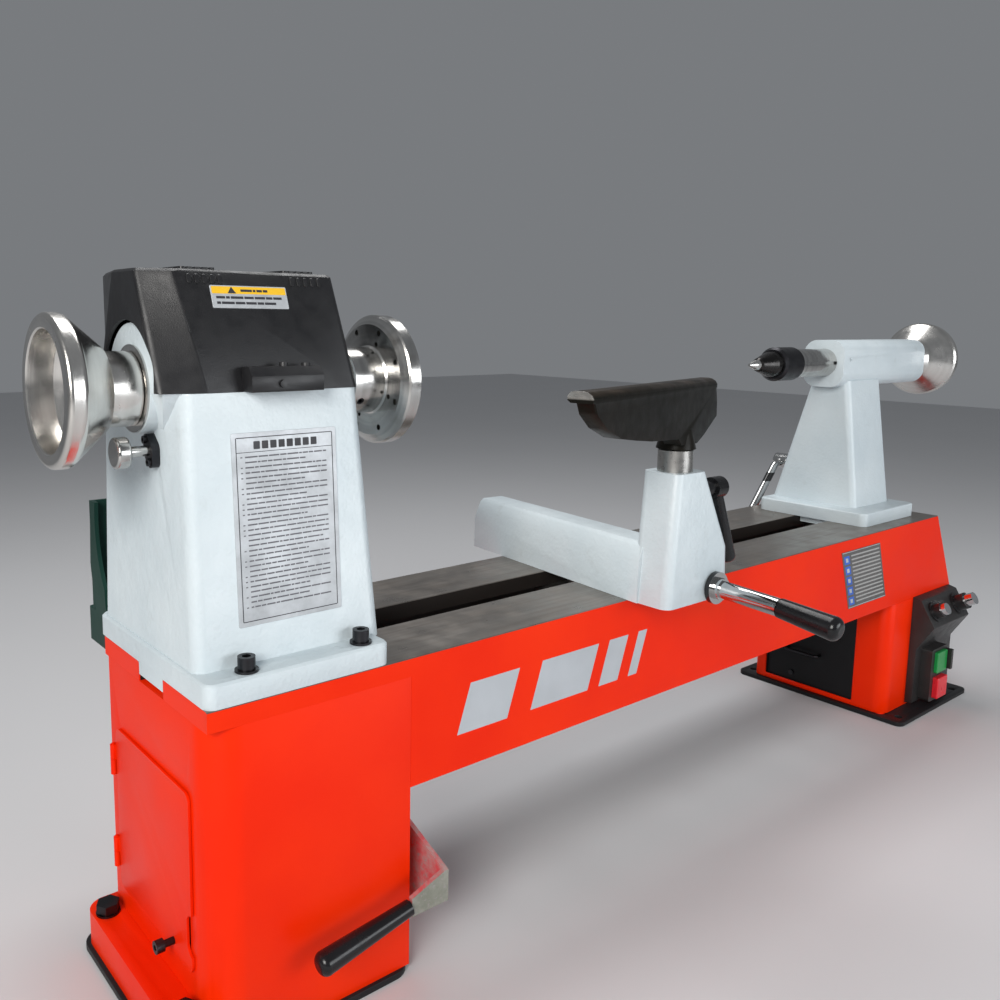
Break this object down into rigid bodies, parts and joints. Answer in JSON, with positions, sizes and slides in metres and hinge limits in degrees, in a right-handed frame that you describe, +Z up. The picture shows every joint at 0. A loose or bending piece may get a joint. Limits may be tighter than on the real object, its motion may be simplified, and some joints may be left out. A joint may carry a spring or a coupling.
{
  "type": "wood lathe",
  "caption": "Pedestal wood lathe with a lidded headstock, flat bed, swivelling tool rest on a banjo, sliding tailstock with live centre, belt tension lever and a front control console.",
  "frame": {"origin": "on the floor, below the spindle axis and the middle of the headstock foot", "axes": "+X along the bed from headstock to tailstock, +Y to the back of the machine, +Z up"},
  "size_m": [1.832, 0.6487, 0.802],
  "materials": {
    "red_paint": "orange-peel gloss",
    "bed_iron": "red paint with ground ways on top",
    "pale_paint": "pebbled pale blue-grey paint",
    "black_paint": "satin",
    "green_paint": "satin dark green",
    "machined_steel": "machined",
    "polished_steel": "turned and polished",
    "black_oxide": "black oxide",
    "chrome": "polished",
    "cast_aluminium": "as cast",
    "lid_plastic": "fine texture",
    "grip_plastic": "gloss",
    "console_plastic": "fine texture",
    "green_plastic": "satin",
    "red_plastic": "satin",
    "belt_rubber": "matte",
    "rest_iron": "black painted, bare on the rail",
    "plate_metal": "printed",
    "primed_steel": "primer, worn"
  },
  "bodies": {
    "stand": {"bed": "bed_iron", "left_cabinet": "red_paint", "left_base_pad": "black_paint", "cabinet_foot_bolts": "black_oxide", "door_hinges": "red_paint", "right_leg": "red_paint", "right_leg_cover": "black_paint", "cover_handle": "black_oxide", "right_base_plate": "black_paint", "inverter": "black_paint", "headstock_casting": "pale_paint", "headstock_bolts": "black_oxide", "spindle_bearings": "machined_steel", "bearing_retainers": "machined_steel", "index_pin_flange": "polished_steel", "lid_hinge": "black_paint", "information_plates": "plate_metal", "outboard_bracket": "green_paint", "rear_guard": "green_paint", "drive_belt": "belt_rubber", "control_console": "console_plastic", "switch_module": "console_plastic"},
    "spindle_assembly": {"spindle": "polished_steel", "handwheel": "polished_steel", "spindle_pulley": "cast_aluminium", "faceplate": "polished_steel", "faceplate_screws": "black_oxide"},
    "index_pin_body": {"index_pin": "polished_steel"},
    "lid_body": {"lid": "lid_plastic", "lid_latch": "lid_plastic", "lid_plate": "plate_metal"},
    "door_body": {"access_door": "red_paint", "door_screw": "black_oxide"},
    "motor_mount": {"motor_cradle": "primed_steel", "motor_body": "black_paint", "tension_lever": "primed_steel", "tension_grip": "grip_plastic"},
    "motor_rotor": {"motor_pulley": "cast_aluminium"},
    "banjo_clamp_body": {"banjo_clamp": "machined_steel"},
    "banjo_block_body": {"banjo_slide_block": "machined_steel"},
    "banjo_body": {"banjo_casting": "pale_paint"},
    "banjo_handle": {"banjo_lever": "chrome", "banjo_grip": "grip_plastic"},
    "tool_post_handle": {"tool_post_lever": "grip_plastic"},
    "tool_post_body": {"tool_post": "machined_steel"},
    "tool_rest_body": {"tool_rest": "rest_iron"},
    "tailstock_body": {"tailstock_casting": "pale_paint", "tailstock_clamp": "machined_steel"},
    "tailstock_handle": {"tailstock_lever": "chrome", "tailstock_grip": "grip_plastic"},
    "quill_body": {"quill": "polished_steel", "live_centre_body": "black_oxide"},
    "live_centre": {"live_centre_point": "black_oxide"},
    "tailstock_wheel": {"tailstock_handwheel": "polished_steel"},
    "quill_lock_body": {"quill_lock": "chrome"},
    "green_button_body": {"green_button": "green_plastic"},
    "red_button_body": {"red_button": "red_plastic"},
    "direction_knob_body": {"direction_knob": "grip_plastic"},
    "speed_knob_body": {"speed_knob": "grip_plastic"}
  },
  "joints": [
    {"name": "spindle_turn", "type": "hinge", "parent": "stand", "child": "spindle_assembly", "pos_m": [0, 0, 0.68], "axis": [1, 0, 0], "continuous": true},
    {"name": "index_pin_slide", "type": "slide", "parent": "stand", "child": "index_pin_body", "axis": [1, 0, 0], "range_m": [0, 0.016]},
    {"name": "lid_hinge_turn", "type": "hinge", "parent": "stand", "child": "lid_body", "pos_m": [0, 0.141, 0.672], "axis": [-1, 0, 0], "range_deg": [0, 80]},
    {"name": "door_swing", "type": "hinge", "parent": "stand", "child": "door_body", "pos_m": [-0.1131, 0.1095, 0.15], "axis": [0, 0, -1], "range_deg": [0, 110]},
    {"name": "belt_tension", "type": "hinge", "parent": "stand", "child": "motor_mount", "pos_m": [0.1, 0.1, 0.25], "axis": [-1, 0, 0], "range_deg": [0, 8], "deforming": ["drive_belt"]},
    {"name": "motor_turn", "type": "hinge", "parent": "motor_mount", "child": "motor_rotor", "pos_m": [0, 0, 0.15], "axis": [1, 0, 0], "continuous": true},
    {"name": "banjo_slide", "type": "slide", "parent": "stand", "child": "banjo_clamp_body", "axis": [1, 0, 0], "range_m": [-0.15, 0.25]},
    {"name": "banjo_swivel", "type": "hinge", "parent": "banjo_clamp_body", "child": "banjo_block_body", "pos_m": [0.549, 0, 0.38], "axis": [0, 0, 1], "range_deg": [-10, 15]},
    {"name": "banjo_reach", "type": "slide", "parent": "banjo_block_body", "child": "banjo_body", "axis": [0.0976, 0.9952, 0], "range_m": [-0.1, 0.03]},
    {"name": "banjo_lock_turn", "type": "hinge", "parent": "banjo_body", "child": "banjo_handle", "pos_m": [0.604, -0.203, 0.396], "axis": [0, 1, 0], "range_deg": [-60, 60]},
    {"name": "rest_lock_turn", "type": "hinge", "parent": "banjo_body", "child": "tool_post_handle", "pos_m": [0.6065, -0.17, 0.525], "axis": [-1, 0, 0], "range_deg": [0, 80]},
    {"name": "rest_height", "type": "slide", "parent": "banjo_body", "child": "tool_post_body", "axis": [0, 0, 1], "range_m": [-0.02, 0.07]},
    {"name": "rest_swivel", "type": "hinge", "parent": "tool_post_body", "child": "tool_rest_body", "pos_m": [0.55, -0.17, 0.6], "axis": [0, 0, 1], "range_deg": [-15, 15]},
    {"name": "tailstock_slide", "type": "slide", "parent": "stand", "child": "tailstock_body", "axis": [1, 0, 0], "range_m": [-0.25, 0.02]},
    {"name": "tailstock_lock_turn", "type": "hinge", "parent": "tailstock_body", "child": "tailstock_handle", "pos_m": [1.36, 0.15, 0.462], "axis": [0, 1, 0], "range_deg": [0, 75]},
    {"name": "quill_travel", "type": "slide", "parent": "tailstock_body", "child": "quill_body", "axis": [-1, 0, 0], "range_m": [-0.1001, 0.0201]},
    {"name": "live_centre_turn", "type": "hinge", "parent": "quill_body", "child": "live_centre", "pos_m": [1, 0, 0.68], "axis": [1, 0, 0], "continuous": true},
    {"name": "tailstock_wheel_turn", "type": "hinge", "parent": "tailstock_body", "child": "tailstock_wheel", "pos_m": [1.6, 0, 0.68], "axis": [-1, 0, 0], "range_deg": [-7200, 1440]},
    {"name": "quill_lock_turn", "type": "hinge", "parent": "tailstock_body", "child": "quill_lock_body", "pos_m": [1.3, 0.04, 0.68], "axis": [0, 1, 0], "range_deg": [-30, 60]},
    {"name": "green_button_press", "type": "slide", "parent": "stand", "child": "green_button_body", "axis": [0, 1, 0], "range_m": [0, 0.003], "stiffness_N_per_m": 800},
    {"name": "red_button_press", "type": "slide", "parent": "stand", "child": "red_button_body", "axis": [0, 1, 0], "range_m": [0, 0.003], "stiffness_N_per_m": 800},
    {"name": "direction_knob_turn", "type": "hinge", "parent": "stand", "child": "direction_knob_body", "pos_m": [1.397, -0.167, 0.2], "axis": [0, -0.8638, 0.5039], "range_deg": [-60, 60]},
    {"name": "speed_knob_turn", "type": "hinge", "parent": "stand", "child": "speed_knob_body", "pos_m": [1.494, -0.167, 0.2], "axis": [0, -0.8638, 0.5039], "range_deg": [0, 270]}
  ],
  "couplings": [
    {"joint": "motor_turn", "follows": "spindle_turn", "ratio": 1.9231},
    {"joint": "quill_travel", "follows": "tailstock_wheel_turn", "m_per_rad": 0.00079577}
  ]
}
